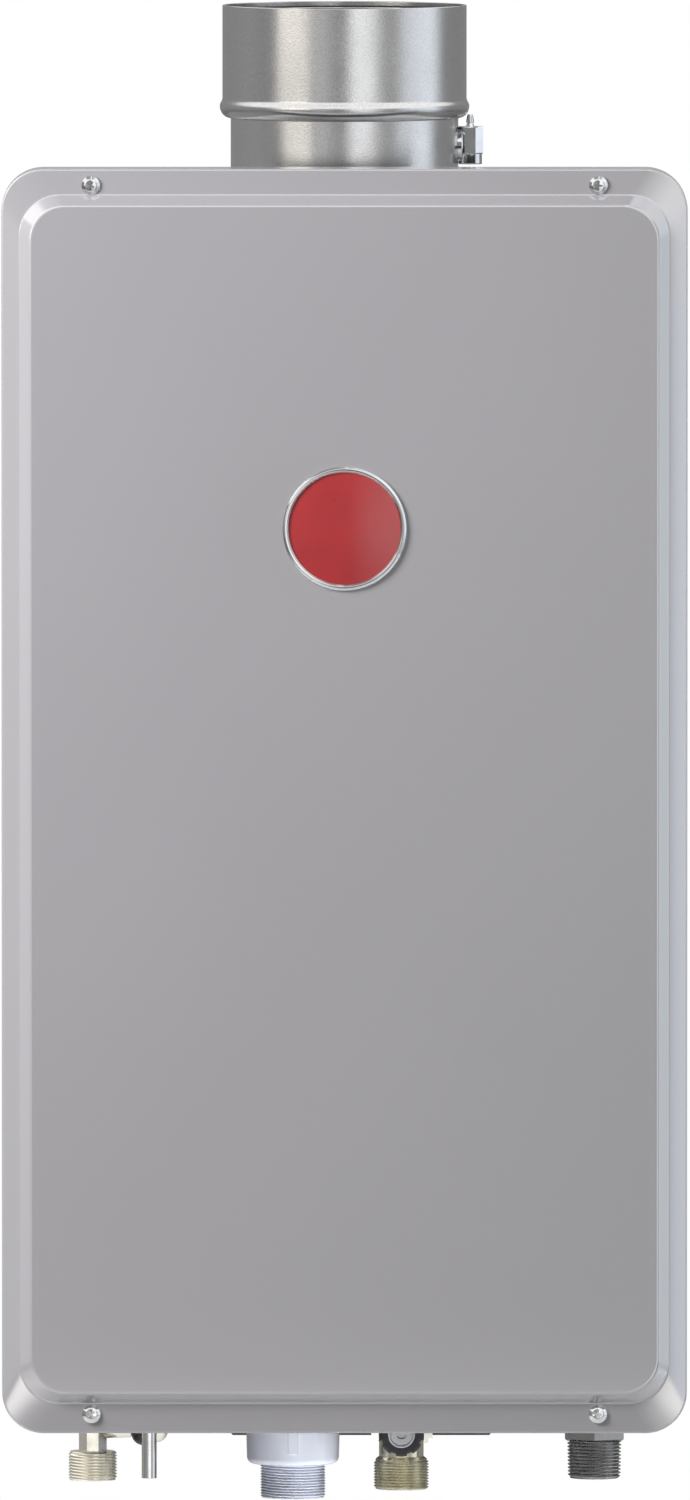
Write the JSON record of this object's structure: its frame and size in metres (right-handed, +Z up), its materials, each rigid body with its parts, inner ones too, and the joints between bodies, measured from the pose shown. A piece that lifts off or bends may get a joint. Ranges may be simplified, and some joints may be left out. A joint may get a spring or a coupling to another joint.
{
  "type": "tankless gas water heater",
  "caption": "Wall-hung tankless gas water heater with a flat front cover, a concentric vent collar on top and threaded water, gas and drain fittings below.",
  "frame": {"origin": "on the wall plane, in the middle of the four wall bolts", "axes": "+X to the right seen from the front, +Y into the wall, +Z up"},
  "size_m": [0.353, 0.2375, 0.7755],
  "materials": {
    "cover_paint": "satin silver-grey paint",
    "case_paint": "satin grey paint on folded sheet",
    "galvanised": "galvanised sheet, faintly spangled",
    "stainless": "plain stainless steel",
    "chrome": "bright plating",
    "red_gloss": "domed clear-coated red",
    "pale_brass": "pale lead-free brass, as machined",
    "olive_brass": "dull cast brass",
    "dark_steel": "dark oiled steel",
    "plated_steel": "bright plated steel, as threaded",
    "white_plastic": "glossy white moulding",
    "cream_plastic": "cream moulding",
    "black_plastic": "black moulding",
    "grey_plastic": "grey moulding",
    "black_rubber": "black rubber",
    "copper": "copper",
    "cast_aluminium": "die-cast aluminium",
    "sheet_steel": "plain sheet steel",
    "green_board": "coated circuit board"
  },
  "bodies": {
    "cabinet": {"case_back": "case_paint", "case_left": "case_paint", "case_right": "case_paint", "case_roof": "case_paint", "case_floor": "case_paint", "collar_plate": "galvanised", "upper_bracket": "dark_steel", "lower_bracket": "dark_steel", "bracket_screws": "galvanised", "vent_collar": "galvanised", "collar_screws": "galvanised", "exhaust_pipe": "stainless", "test_port": "chrome", "flue_hood": "stainless", "exchanger_shell": "copper", "exchanger_fins": "copper", "exchanger_tube": "copper", "combustion_chamber": "copper", "burner_box": "sheet_steel", "burner_bars": "stainless", "cell_bracket": "galvanised", "gas_manifold": "cast_aluminium", "gas_pipe": "sheet_steel", "gas_valve": "cast_aluminium", "gas_solenoids": "black_plastic", "gas_inlet": "plated_steel", "fan_housing": "galvanised", "fan_motor": "black_plastic", "igniter_module": "black_plastic", "spark_electrodes": "stainless", "ignition_lead": "black_rubber", "cold_inlet": "olive_brass", "inlet_clip": "cream_plastic", "flow_sensor": "black_plastic", "water_valve": "olive_brass", "valve_motor": "grey_plastic", "cold_pipe": "copper", "hot_pipe": "copper", "hot_outlet": "pale_brass", "relief_tube": "stainless", "relief_valve": "pale_brass", "condensate_fitting": "white_plastic", "condensate_hose": "black_rubber", "controller_tray": "black_plastic", "circuit_board": "green_board", "thermistor": "cream_plastic"},
    "cover": {"front_cover": "cover_paint", "cover_gasket": "black_rubber", "cover_screws": "chrome", "badge_ring": "chrome", "badge_dome": "red_gloss"},
    "blower_rotor": {"fan_wheel": "sheet_steel"},
    "turbine_rotor": {"flow_turbine": "grey_plastic"},
    "filter_carriage": {"strainer": "grey_plastic"},
    "filter_cap": {"filter_knob": "black_plastic", "filter_insert": "grey_plastic"},
    "drain_carriage": {"drain_stem": "pale_brass"},
    "drain_cap": {"drain_knob": "black_plastic"}
  },
  "joints": [
    {"name": "cover_lift", "type": "slide", "parent": "cabinet", "child": "cover", "axis": [0, -1, 0], "range_m": [0, 0.15]},
    {"name": "blower_spin", "type": "hinge", "parent": "cabinet", "child": "blower_rotor", "pos_m": [-0.03, -0.11, -0.162], "axis": [0, -1, 0], "continuous": true},
    {"name": "turbine_spin", "type": "hinge", "parent": "cabinet", "child": "turbine_rotor", "pos_m": [0.0295, -0.11, -0.281], "axis": [0, 0, 1], "continuous": true},
    {"name": "filter_draw", "type": "slide", "parent": "cabinet", "child": "filter_carriage", "axis": [0, -1, 0], "range_m": [0, 0.007]},
    {"name": "filter_unscrew", "type": "hinge", "parent": "filter_carriage", "child": "filter_cap", "pos_m": [0.0295, -0.14, -0.333], "axis": [0, -1, 0], "range_deg": [0, 1262]},
    {"name": "drain_draw", "type": "slide", "parent": "cabinet", "child": "drain_carriage", "axis": [1, 0, 0], "range_m": [0, 0.007]},
    {"name": "drain_unscrew", "type": "hinge", "parent": "drain_carriage", "child": "drain_cap", "pos_m": [-0.105, -0.11, -0.332], "axis": [1, 0, 0], "range_deg": [0, 1262]}
  ],
  "couplings": [
    {"joint": "filter_unscrew", "follows": "filter_draw", "rad_per_m": 3141.6},
    {"joint": "drain_unscrew", "follows": "drain_draw", "rad_per_m": 3141.6}
  ]
}
